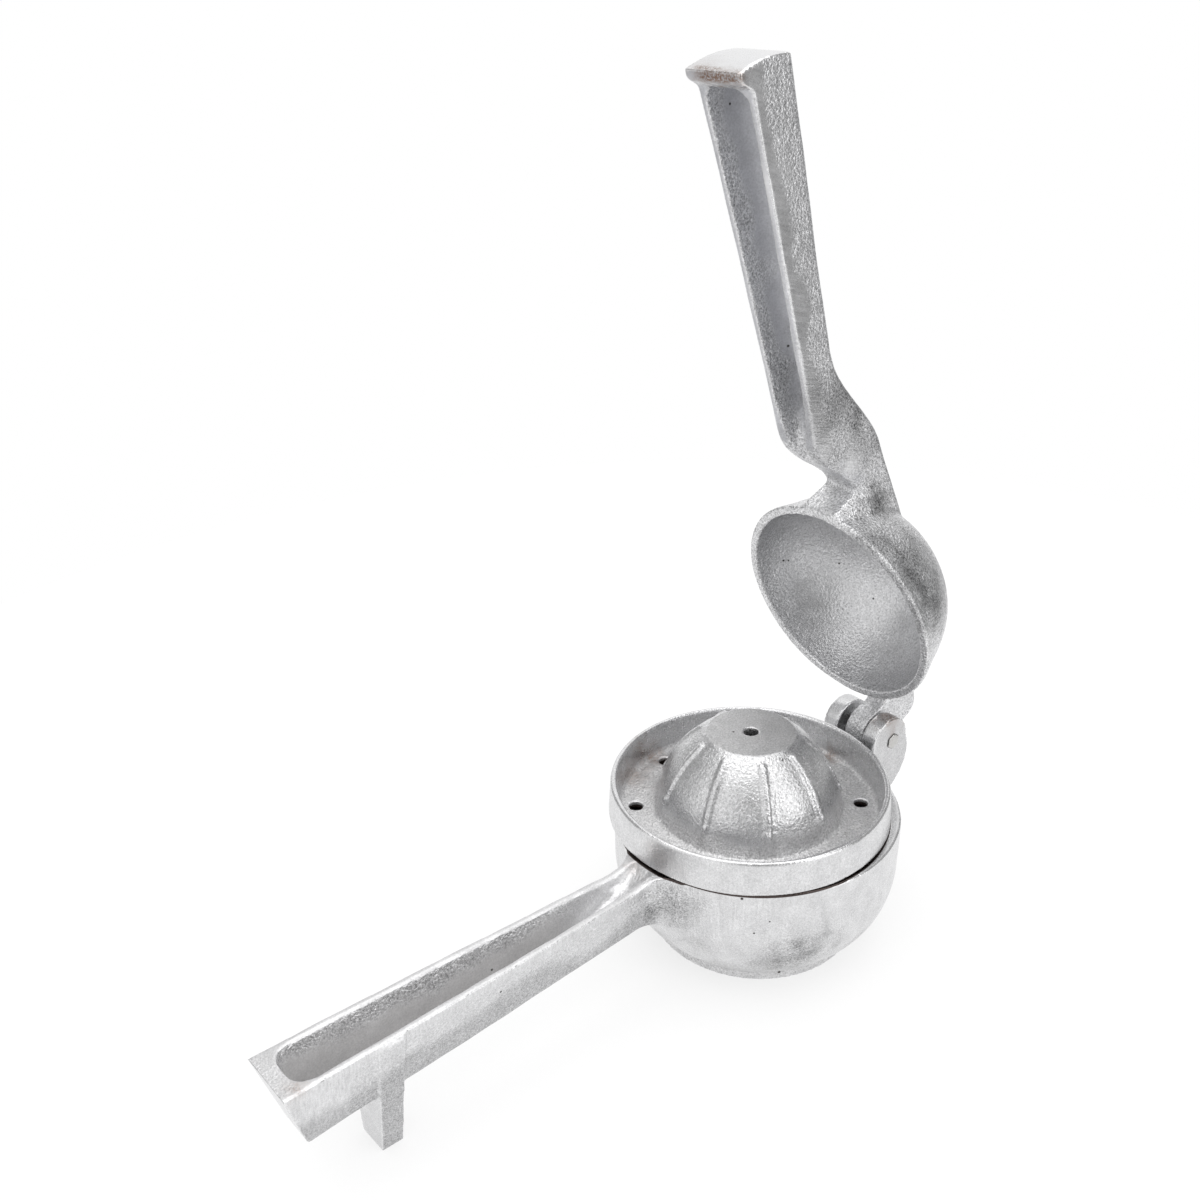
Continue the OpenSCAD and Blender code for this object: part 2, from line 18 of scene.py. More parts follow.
import bmesh
import bpy
import numpy as np
from mathutils import Matrix, Vector


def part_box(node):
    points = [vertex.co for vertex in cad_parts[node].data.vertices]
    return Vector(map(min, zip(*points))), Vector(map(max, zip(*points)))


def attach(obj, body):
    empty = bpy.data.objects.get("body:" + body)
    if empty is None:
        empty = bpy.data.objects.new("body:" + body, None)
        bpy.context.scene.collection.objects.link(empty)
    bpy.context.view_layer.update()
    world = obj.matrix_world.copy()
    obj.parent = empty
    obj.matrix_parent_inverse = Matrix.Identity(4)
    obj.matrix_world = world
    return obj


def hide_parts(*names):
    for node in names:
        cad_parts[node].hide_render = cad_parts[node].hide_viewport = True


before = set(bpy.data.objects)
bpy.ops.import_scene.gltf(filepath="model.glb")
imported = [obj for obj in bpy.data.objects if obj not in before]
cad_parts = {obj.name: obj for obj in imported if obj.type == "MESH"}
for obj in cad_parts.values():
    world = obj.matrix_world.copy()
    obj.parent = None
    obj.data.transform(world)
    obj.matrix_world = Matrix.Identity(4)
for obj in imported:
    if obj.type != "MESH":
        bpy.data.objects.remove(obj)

LOG = logging.getLogger("squeezer")
MM = 0.001
WHITE = (1.0, 1.0, 1.0, 1.0)
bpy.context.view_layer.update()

# Kinds of node that the aluminium uses often. A colour Mix takes its share at input 0 and its
# colours at 6 and 7, and gives the result at output 2.
MATH = "ShaderNodeMath"
VECTOR_MATH = "ShaderNodeVectorMath"
MIX = "ShaderNodeMix"


class Mark(Enum):
    """What was done to a casting's surface at a point, as the name of the mesh attribute."""

    GROUND = "ground"
    LINISHED = "linished"
    PEBBLED = "pebbled"
    DULL = "dull"
    # Rubbed bright by wear; on edges also painted lighter as a highlight
    WORN_AND_HIGHLIGHT = "worn_and_highlight"
    # Oxide and soil in holes and hollows, and painted shade on dark patches
    GRIMY_AND_SHADED = "grimy_and_shaded"
    STAINED = "stained"


# ------------------------------------------------------------------ small tools


def linear(hex_colour: str) -> tuple[float, float, float, float]:
    """Turns an sRGB hex colour into linear light.

    Args:
        hex_colour: Six hex digits.

    Returns:
        Red, green, blue and an alpha of 1.
    """
    parts = [int(hex_colour[i : i + 2], 16) / 255 for i in (0, 2, 4)]
    light = [c / 12.92 if c <= 0.04045 else ((c + 0.055) / 1.055) ** 2.4 for c in parts]
    return (*light, 1.0)


def add_node(
    tree: bpy.types.NodeTree,
    kind: str,
    inputs: dict | tuple = (),
    out: int | str = 0,
    **settings: object,
) -> bpy.types.NodeSocket | None:
    """Adds a node with its settings and links.

    Args:
        tree: The node tree it goes into.
        kind: The node's type name.
        inputs: Values, or the sockets that feed them, in order or by the input's name or number.
        out: Which output to hand back.
        **settings: The node's own properties.

    Returns:
        One output of the new node, or nothing for a node that has none.
    """
    made = tree.nodes.new(kind)
    for key, value in settings.items():
        setattr(made, key, value)
    for key, value in inputs.items() if isinstance(inputs, dict) else enumerate(inputs):
        if isinstance(value, bpy.types.NodeSocket):
            tree.links.new(value, made.inputs[key])
        else:
            made.inputs[key].default_value = value
    return made.outputs[out] if made.outputs else None


def new_material(name: str) -> bpy.types.Material:
    """Makes a material whose node tree is still empty.

    Args:
        name: The material's name.

    Returns:
        The material.
    """
    made = bpy.data.materials.new(name)
    made.use_nodes = True
    made.node_tree.nodes.clear()
    return made


def add_mesh(name: str, points: np.ndarray, faces: np.ndarray | list) -> bpy.types.Object:
    """Makes a mesh and puts its object into the scene, at the origin.

    Args:
        name: Name of the mesh and of the object.
        points: Places in metres, one row each.
        faces: The points' numbers round each face.

    Returns:
        The object.
    """
    mesh = bpy.data.meshes.new(name)
    mesh.from_pydata(points, [], faces)
    made = bpy.data.objects.new(name, mesh)
    bpy.context.scene.collection.objects.link(made)
    return made


def grid_faces(rows: int, columns: int, closed: bool) -> np.ndarray:
    """Lists the four corners of each cell of a grid of points that are numbered row by row.

    Args:
        rows: How many rows.
        columns: How many points a row has.
        closed: Whether a row's last point joins its first.

    Returns:
        Four numbers a face.
    """
    cells = columns if closed else columns - 1
    i, j = np.meshgrid(np.arange(rows - 1), np.arange(cells), indexing="ij")
    a, b = i * columns + j, i * columns + (j + 1) % columns
    return np.stack([a, b, b + columns, a + columns], axis=2).reshape(-1, 4)


def heading(azimuth: np.ndarray | float, elevation: np.ndarray | float) -> np.ndarray:
    """Gives the unit directions (cos a cos e, sin a cos e, sin e).

    Args:
        azimuth: Angles a in degrees.
        elevation: Angles e in degrees.

    Returns:
        The directions, along the last axis.
    """
    a, e = np.radians(azimuth), np.radians(elevation)
    return np.stack([np.cos(a) * np.cos(e), np.sin(a) * np.cos(e), np.sin(e)], axis=-1)


def fade(t: np.ndarray, start: float, end: float) -> np.ndarray:
    """Goes from 0 at one value of t to 1 at another, as u * u * (3 - 2 * u), level at both.

    Args:
        t: The values.
        start: Where it is 0.
        end: Where it is 1, which may lie below start.

    Returns:
        The share from 0 to 1 at each value.
    """
    u = np.clip((t - start) / (end - start), 0.0, 1.0)
    return u * u * (3 - 2 * u)


def band(t: np.ndarray, low: float, high: float, soft: float) -> np.ndarray:
    """Is 1 where t lies between two limits, and fades out over a soft edge.

    Args:
        t: The values.
        low: Lower limit.
        high: Upper limit.
        soft: Width of the fade, centred on each limit.

    Returns:
        The share from 0 to 1 at each value.
    """
    half = soft / 2
    return fade(t, low - half, low + half) * fade(t, high + half, high - half)


@dataclass(frozen=True)
class Waver:
    """A slow, seeded unevenness: a sum of sine waves in random directions."""

    seed: int
    length_mm: float
    waves: int = 14

    def at(self, points: np.ndarray) -> np.ndarray:
        """Sums sin(k . p + phase) over waves whose lengths lie within a third of length_mm.

        Args:
            points: Places in millimetres, one row each.

        Returns:
            Values of about -1 to 1.
        """
        rng = np.random.default_rng(self.seed)
        ways = rng.normal(size=(self.waves, 3))
        ways /= np.linalg.norm(ways, axis=1, keepdims=True)
        lengths = self.length_mm * rng.uniform(0.7, 1.35, self.waves)
        phases = rng.uniform(0, 2 * math.pi, self.waves)
        turns = points @ (2 * math.pi * ways / lengths[:, None]).T + phases
        return np.sin(turns).sum(axis=1) / math.sqrt(self.waves)


# ------------------------------------------------------------------ finishes


@dataclass(frozen=True)
class Spot:
    """One place where a mark is stronger, with a blotchy edge."""

    mark: Mark
    place: tuple[float, float, float]
    radius: float
    share: float = 1.0

    def at(self, points: np.ndarray) -> np.ndarray:
        """Falls off from the place as exp(-(distance / radius) ^ 2), with a wavering radius.

        Args:
            points: Places in millimetres, one row each.

        Returns:
            The share that the spot adds at each point.
        """
        far = ((points - self.place) ** 2).sum(axis=1) / self.radius**2
        blotches = 1 + 0.5 * Waver(3, 0.8 * self.radius + 1).at(points)
        return self.share * np.exp(-far * blotches.clip(0.35))


@dataclass(frozen=True)
class Seam:
    """The crack under the strainer's wall, painted as its shadow and as dried juice and polishing
    soap.
    """

    centre_x: float = -3.8
    radius: float = 44.9
    low_z: float = 42.5
    high_z: float = 43.5
    # How far the crack's lower edge drops for each millimetre that the bowl stands back
    slant: float = 0.45
    # Width of its soft edge, and how much of the metal's colour the painted shadow and juice cover
    edge: float = 0.12
    cover: float = 0.94
    # Colour of the crack's painted shadow and dried juice
    dirt_and_shadow: str = "33241e"

    def darkened(
        self, tree: bpy.types.NodeTree, place: bpy.types.NodeSocket, colour: bpy.types.NodeSocket
    ) -> bpy.types.NodeSocket:
        """Darkens the crack: inside the radius, above the slanted edge and below the upper one.

        Args:
            tree: The material's tree.
            place: Object coordinates.
            colour: The colour so far.

        Returns:
            The colour with the crack in it.
        """
        hard = 1 / (self.edge * MM)
        low = self.low_z - self.slant * self.radius
        off = add_node(
            tree, VECTOR_MATH, (place, (self.centre_x * MM, 0, 0)), operation="SUBTRACT"
        )
        flat = add_node(tree, VECTOR_MATH, (off, (1, 1, 0)), operation="MULTIPLY")
        radius = add_node(tree, VECTOR_MATH, (flat,), out="Value", operation="LENGTH")
        height = add_node(tree, "ShaderNodeSeparateXYZ", (place,), out="Z")
        slanted = add_node(tree, MATH, (radius, -self.slant, height), operation="MULTIPLY_ADD")
        dark = self.cover
        for value, slope, start in (
            (radius, -hard, self.radius * MM * hard),
            (slanted, hard, -low * MM * hard),
            (height, -hard, self.high_z * MM * hard),
        ):
            edge = add_node(
                tree, MATH, (value, slope, start), operation="MULTIPLY_ADD", use_clamp=True
            )
            dark = add_node(tree, MATH, (edge, dark), operation="MULTIPLY")
        return add_node(
            tree, MIX, {0: dark, 6: colour, 7: linear(self.dirt_and_shadow)}, out=2, data_type="RGBA"
        )


@dataclass(frozen=True)
class CastAluminium:
    """Sand-cast aluminium, tumbled with stones: a satin silver metal with a fine pebbled grain.

    The tumbling leaves hammered-looking dimples about a millimetre wide, over a sparkling grain
    left by the sand. Belt marks run across the handles, ground faces are smooth and light, edges
    are rubbed bright by wear and painted lighter as a highlight, the places that the stones missed
    keep a dull skin, and dried juice browns the creases. Dark patches are painted shade, and the
    crack under the strainer is painted dark, partly as its shadow.
    """

    name: str
    metal: str = "d6d6d7"
    dull: str = "cbcaca"
    # Light grey of ground faces, also laid on edges rubbed by wear partly as a painted highlight
    ground: str = "e4e4e5"
    stain: str = "7c6252"
    # Grey of oxide and soil in holes and hollows, also laid on dark patches as painted shade
    grime_and_shade_grey: str = "7a7a7b"
    pit: str = "393532"
    roughness: float = 0.3
    pebble_mm: float = 0.85
    pebble_depth_mm: float = 0.5
    pebble_tone: float = 1.3
    # Share of the dimples that shows even where the stones hardly reached, and how patchy they are
    pebble_least: float = 0.08
    pebble_patches: float = 3.0
    # The sand's grain is 0.2 mm, too fine to show, so it is drawn 0.5 mm wide
    grain_mm: float = 0.5
    grain_depth_mm: float = 0.12
    grain_tone: float = 1.4
    # Belt scratches are 0.1 mm apart, too fine to show, so they are drawn 0.6 mm apart
    scratch_mm: float = 0.6
    scratch_depth_mm: float = 0.08
    scratch_tone: float = 0.5
    # How many times longer than wide a scratch is, and how far they are turned about y
    scratch_stretch: float = 14.0
    scratch_turn_deg: float = 0.0
    # Clouds where the stones rubbed more or less
    cloud_mm: float = 5.5
    cloud_tone: float = 0.4
    # Share of every grain that grinding takes off
    ground_off: float = 0.85
    # Black specks that the casting left: place and width of each
    black_pits: tuple[tuple[float, float, float, float], ...] = ()
    seam: Seam | None = None

    def material(self) -> bpy.types.Material:
        """Builds the material: colour, roughness and bump from the marks and the grains.

        Returns:
            The finished material.
        """
        made = new_material(self.name)
        tree = made.node_tree
        ground, linished, pebbled, dull, worn_and_highlight, grimy_and_shaded, stained = (
            add_node(tree, "ShaderNodeAttribute", out="Fac", attribute_name=mark.value)
            for mark in Mark
        )
        place = add_node(tree, "ShaderNodeTexCoord", out="Object")
        turned = {
            "Vector": place,
            "Rotation": (0, math.radians(self.scratch_turn_deg), 0),
            "Scale": (1, 1, self.scratch_stretch),
        }
        stretched = add_node(tree, "ShaderNodeMapping", turned, vector_type="TEXTURE")
        grains = []
        for where, size, detail in (
            (place, self.pebble_mm, 2.0),
            (place, self.grain_mm, 1.0),
            (place, self.cloud_mm, 4.0),
            (stretched, self.scratch_mm, 1.5),
        ):
            noise = add_node(
                tree,
                "ShaderNodeTexNoise",
                {"Vector": where, "Scale": 1 / (size * MM), "Detail": detail, "Roughness": 0.55},
            )
            # Noise has its mean at 0.5, so it is centred on 0 before it shifts anything
            grains.append(add_node(tree, MATH, (noise, 0.5), operation="SUBTRACT"))
        pebble, grain, cloud, scratch = grains

        # How strongly each grain shows: a start, and what each mark or cloud adds times its gain.
        # Grinding wipes them out, the stones bring out both, and soil and painted shade sit in the
        # sand's grain.
        shares = []
        for share, *terms in (
            (1.0, (ground, -self.ground_off)),
            (self.pebble_least, (pebbled, 1 - self.pebble_least)),
            (1.0, (cloud, self.pebble_patches)),
            (0.3, (pebbled, 0.9), (grimy_and_shaded, 1.2)),
        ):
            for amount, gain in terms:
                share = add_node(tree, MATH, (amount, gain, share), operation="MULTIPLY_ADD")
            shares.append(share)
        kept, hammered, patchy, sandy = shares
        hammered = add_node(
            tree, MATH, (hammered, patchy), operation="MULTIPLY", use_clamp=True
        )
        pebbles = add_node(tree, MATH, (pebble, hammered), operation="MULTIPLY")
        sand = add_node(tree, MATH, (grain, sandy), operation="MULTIPLY")
        pebbles, sand, clouds = (
            add_node(tree, MATH, (pattern, kept), operation="MULTIPLY")
            for pattern in (pebbles, sand, cloud)
        )
        lines = add_node(tree, MATH, (scratch, linished), operation="MULTIPLY")

        # Height, tone, roughness and bareness, each from a start and what is added times its gain.
        # Peaks are rubbed bright and pits stay dark. Dull skin, soil and painted shade scatter
        # light, so they are less of a mirror, and metal rubbed bright by wear is more of one.
        looks = []
        for look, held, *terms in (
            (
                0.0,
                False,
                (pebbles, self.pebble_depth_mm * MM),
                (sand, self.grain_depth_mm * MM),
                (lines, self.scratch_depth_mm * MM),
            ),
            (
                1.0,
                False,
                (pebbles, self.pebble_tone),
                (sand, self.grain_tone),
                (lines, self.scratch_tone),
                (clouds, self.cloud_tone),
            ),
            (self.roughness, False, (pebble, -0.25), (dull, 0.25), (worn_and_highlight, -0.06)),
            (1.0, True, (dull, -0.75), (grimy_and_shaded, -0.3)),
        ):
            for amount, gain in terms:
                look = add_node(
                    tree, MATH, (amount, gain, look), operation="MULTIPLY_ADD", use_clamp=held
                )
            looks.append(look)
        height, tone, rough, bare = looks

        bright = add_node(tree, MATH, (ground, worn_and_highlight), operation="MAXIMUM")
        # The brown gathers in the sand's grain
        browned = add_node(tree, MATH, (grain, 3.0, 0.7), operation="MULTIPLY_ADD", use_clamp=True)
        browned = add_node(tree, MATH, (browned, stained), operation="MULTIPLY")
        colour = linear(self.metal)
        for share, paint in (
            (dull, self.dull),
            # Ground faces, and edges rubbed bright by wear and painted lighter as a highlight
            (bright, self.ground),
            # Oxide and soil in holes and hollows, and painted shade on the dark patches
            (grimy_and_shaded, self.grime_and_shade_grey),
            (browned, self.stain),
        ):
            colour = add_node(
                tree, MIX, {0: share, 6: colour, 7: linear(paint)}, out=2, data_type="RGBA"
            )
        colour = add_node(tree, VECTOR_MATH, {"Vector": colour, "Scale": tone}, operation="SCALE")
        for x, y, z, width in self.black_pits:
            middle = (x * MM, y * MM, z * MM)
            far = add_node(tree, VECTOR_MATH, (place, middle), out="Value", operation="DISTANCE")
            # A pit is black up to 0.35 of its width from its middle, and gone at 0.6
            slope = (far, -4.0 / (width * MM), 2.4)
            near = add_node(tree, MATH, slope, operation="MULTIPLY_ADD", use_clamp=True)
            colour = add_node(
                tree, MIX, {0: near, 6: colour, 7: linear(self.pit)}, out=2, data_type="RGBA"
            )
        if self.seam:
            colour = self.seam.darkened(tree, place, colour)

        lifted = {"Height": height, "Distance": 1.0, "Strength": 1.0}
        bump = add_node(tree, "ShaderNodeBump", lifted)
        metal = add_node(
            tree,
            "ShaderNodeBsdfPrincipled",
            {"Base Color": colour, "Metallic": bare, "Roughness": rough, "Normal": bump},
        )
        add_node(tree, "ShaderNodeOutputMaterial", {"Surface": metal})
        return made


# ------------------------------------------------------------------ skins


@dataclass
class Skin:
    """A closed surface of four-cornered faces as arrays, in millimetres."""

    points: np.ndarray
    quads: np.ndarray
    step: float
    edges: np.ndarray = field(init=False)
    around: np.ndarray = field(init=False)

    def __post_init__(self) -> None:
        """Lists each edge once and counts the neighbours of each point."""
        sides = np.concatenate([self.quads[:, [i, (i + 1) % 4]] for i in range(4)])
        sides.sort(axis=1)
        # Both ends of an edge go into one number, so that equal edges are found quickly
        packed = np.unique(sides[:, 0].astype(np.int64) << 32 | sides[:, 1])
        self.edges = np.stack([packed >> 32, packed & 0xFFFFFFFF], axis=1)
        self.around = np.bincount(self.edges.ravel(), minlength=len(self.points)).astype(float)

    def normals(self) -> np.ndarray:
        """Sums the cross products of each face's diagonals at its corners.

        Returns:
            Unit outward normals, one row a point.
        """
        a, b, c, d = (self.points[self.quads[:, i]] for i in range(4))
        out = np.repeat(np.cross(c - a, d - b), 4, axis=0)
        corners = self.quads.ravel()
        total = np.stack([np.bincount(corners, part, len(self.points)) for part in out.T], axis=1)
        return total / np.maximum(np.linalg.norm(total, axis=1, keepdims=True), 1e-12)

    def lean(self) -> np.ndarray:
        """Finds the way from each point to the mean of its neighbours.

        Returns:
            One row a point.
        """
        i, j = self.edges.T
        count = len(self.points)
        near = [np.bincount(i, c[j], count) + np.bincount(j, c[i], count) for c in self.points.T]
        return np.stack(near, axis=1) / self.around[:, None] - self.points

    def settle(self, rounds: int, pull: float = 0.5, push: float = 0.52) -> None:
        """Takes the grid's jitter out without shrinking: each round pulls in and pushes back.

        Args:
            rounds: How often.
            pull: Share of the way to the neighbours' mean that a point goes.
            push: Share of the new way that it goes back.
        """
        for _ in range(rounds):
            self.points += pull * self.lean()
            self.points -= push * self.lean()

    def round_corners(self, inside: np.ndarray, outside: np.ndarray) -> None:
        """Fills inside corners and rounds outside ones, each to about its own radius.

        Heat flow over n rounds fills a square corner about as a fillet of step * sqrt(n / 1.1)
        does, so each point stops taking part once its own radius is reached. Only the part of the
        flow along the normal is used, so the grid doesn't slide.

        Args:
            inside: Radius of an inside corner at each point.
            outside: Radius of an outside corner at each point.
        """
        flow, renewal = 0.5, 6
        fill_stop, wear_stop = (1.1 * (r / self.step) ** 2 for r in (inside, outside))
        normal = self.normals()
        for turn in range(int(max(fill_stop.max(), wear_stop.max())) + 1):
            if (turn + 1) % renewal == 0:
                normal = self.normals()
            rise = (self.lean() * normal).sum(axis=1)
            share = np.where(rise > 0, fill_stop > turn, wear_stop > turn)
            self.points += (flow * share * rise)[:, None] * normal


@dataclass
class Casting(ABC):
    """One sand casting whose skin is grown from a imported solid."""

    finish: CastAluminium
    node: str
    seed: int
    spots: tuple[Spot, ...] = ()
    body: str = "base"
    slot: str = "cast_aluminium"
    step_mm: float = 0.5
    quick_times: float = 1.6
    most_faces: int = 185_000
    # Height of the sand's unevenness, and its two lengths with the shorter one's share
    waver_mm: float = 0.08
    waver_lengths: tuple[float, float] = (34.0, 12.0)
    waver_share: float = 0.35

    @abstractmethod
    def fillets(self, p: np.ndarray) -> np.ndarray:
        """Gives the radius of the inside corners at each point in millimetres."""

    @abstractmethod
    def rounds(self, p: np.ndarray) -> np.ndarray:
        """Gives the radius of the outside corners at each point in millimetres."""

    @abstractmethod
    def marks(self, p: np.ndarray, n: np.ndarray) -> dict[Mark, np.ndarray]:
        """Gives how each point was finished, as a share from 0 to 1 for each mark.

        Args:
            p: Points in millimetres.
            n: Outward normals.

        Returns:
            The marks that the piece has.
        """

    def dents(self, p: np.ndarray) -> np.ndarray:
        """Gives how far the surface stands out at each point beyond the unevenness."""
        return np.zeros(len(p))

    def grown(self) -> Skin:
        """Copies the solid, merges its loose triangles and lays an even grid of faces over it.

        Returns:
            The skin in millimetres.
        """
        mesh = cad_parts[self.node].data.copy()
        work = bmesh.new()
        work.from_mesh(mesh)
        bmesh.ops.remove_doubles(work, verts=work.verts, dist=1e-6)
        work.to_mesh(mesh)
        work.free()
        holder = bpy.data.objects.new("growing", mesh)
        bpy.context.scene.collection.objects.link(holder)
        step = self.step_mm * 1.0
        remesh = holder.modifiers.new("grid", "REMESH")
        remesh.mode, remesh.voxel_size = "VOXEL", step * MM
        ready = bpy.context.evaluated_depsgraph_get()
        even = bpy.data.meshes.new_from_object(holder.evaluated_get(ready))
        points = np.empty(len(even.vertices) * 3, np.float32)
        even.vertices.foreach_get("co", points)
        corners = np.empty(len(even.loops), np.int32)
        even.loops.foreach_get("vertex_index", corners)
        skin = Skin(points.reshape(-1, 3).astype(float) / MM, corners.reshape(-1, 4), step)
        bpy.data.objects.remove(holder)
        bpy.data.meshes.remove(even)
        bpy.data.meshes.remove(mesh)
        return skin

    def thinned(self, skin: Skin) -> bpy.types.Object:
        """Puts the skin into a mesh and thins its flat parts until it has most_faces triangles.

        Args:
            skin: The finished skin.

        Returns:
            The object, at the origin.
        """
        thick = add_mesh("thick", skin.points * MM, skin.quads)
        triangles = 2 * len(skin.quads)
        if triangles > self.most_faces:
            thin = thick.modifiers.new("thin", "DECIMATE")
            thin.ratio = self.most_faces / triangles
        ready = bpy.context.evaluated_depsgraph_get()
        done = bpy.data.meshes.new_from_object(thick.evaluated_get(ready))
        mesh = thick.data
        bpy.data.objects.remove(thick)
        bpy.data.meshes.remove(mesh)
        done.name = self.node + "_skin"
        piece = bpy.data.objects.new(self.node + "_skin", done)
        bpy.context.scene.collection.objects.link(piece)
        done.polygons.foreach_set("use_smooth", np.ones(len(done.polygons), bool))
        return piece

    def curved(self, mesh: bpy.types.Mesh, p: np.ndarray, n: np.ndarray) -> np.ndarray:
        """Finds how sharply the surface curves at each point, above 0 on outside corners.

        Along each edge the curvature is 2 * n . (p - q) / |p - q|^2, and a point takes the mean of
        its edges, smoothed twice over its neighbours.

        Args:
            mesh: The mesh.
            p: Its points in millimetres.
            n: Its normals.

        Returns:
            Curvature per millimetre.
        """
        shortest_squared = 0.02
        ends = np.empty(len(mesh.edges) * 2, np.int32)
        mesh.edges.foreach_get("vertices", ends)
        i, j = ends.reshape(-1, 2).T
        way = p[i] - p[j]
        size = np.maximum((way**2).sum(axis=1), shortest_squared)
        count = np.bincount(i, minlength=len(p)) + np.bincount(j, minlength=len(p))
        count = np.maximum(count, 1)
        from_i = 2 * (n[i] * way).sum(axis=1) / size
        from_j = -2 * (n[j] * way).sum(axis=1) / size
        bend = (np.bincount(i, from_i, len(p)) + np.bincount(j, from_j, len(p))) / count
        for _ in range(2):
            near = np.bincount(i, bend[j], len(p)) + np.bincount(j, bend[i], len(p))
            bend = 0.5 * bend + 0.5 * near / count
        return bend

    def mark(self, mesh: bpy.types.Mesh) -> None:
        """Works out every mark and writes it into the mesh.

        Outside corners anywhere are rubbed bright and painted as a highlight, inside ones a little
        darker.

        Args:
            mesh: The finished mesh.
        """
        count = len(mesh.vertices)
        p, n = np.empty(count * 3, np.float32), np.empty(count * 3, np.float32)
        mesh.vertices.foreach_get("co", p)
        mesh.vertex_normals.foreach_get("vector", n)
        p, n = p.reshape(-1, 3).astype(float) / MM, n.reshape(-1, 3).astype(float)
        bend = self.curved(mesh, p, n)
        given = {kind: np.zeros(count) for kind in Mark}
        # Outside corners are rubbed bright by wear and painted lighter as a highlight
        given[Mark.WORN_AND_HIGHLIGHT] = fade(bend, 0.2, 0.8)
        # Inside corners are made a little darker and less of a mirror
        given[Mark.GRIMY_AND_SHADED] = 0.2 * fade(bend, -0.5, -1.4)
        for kind, share in self.marks(p, n).items():
            given[kind] += share
        for spot in self.spots:
            given[spot.mark] += spot.at(p)
        for kind, share in given.items():
            values = np.clip(share, 0, 1).astype(np.float32)
            mesh.attributes.new(kind.value, "FLOAT", "POINT").data.foreach_set("value", values)

    def build(self) -> bpy.types.Object:
        """Grows, rounds, marks and dresses the casting.

        Returns:
            The piece that stands for the node.
        """
        skin = self.grown()
        skin.settle(6)
        skin.round_corners(self.fillets(skin.points), self.rounds(skin.points))
        slow, fast = (
            Waver(self.seed + i, length).at(skin.points)
            for i, length in enumerate(self.waver_lengths)
        )
        # Mostly taken off rather than added, so the skin hardly leaves its solid
        lift = self.waver_mm * (slow + self.waver_share * fast - 1) + self.dents(skin.points)
        skin.points += lift[:, None] * skin.normals()
        low, high = (np.array(corner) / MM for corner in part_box(self.node))
        skin.points = np.clip(skin.points, low, high)
        piece = self.thinned(skin)
        self.mark(piece.data)
        piece.data.materials.append(self.finish.material())
        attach(piece, self.body)
        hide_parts(self.node)
        return piece


# ------------------------------------------------------------------ the four pieces


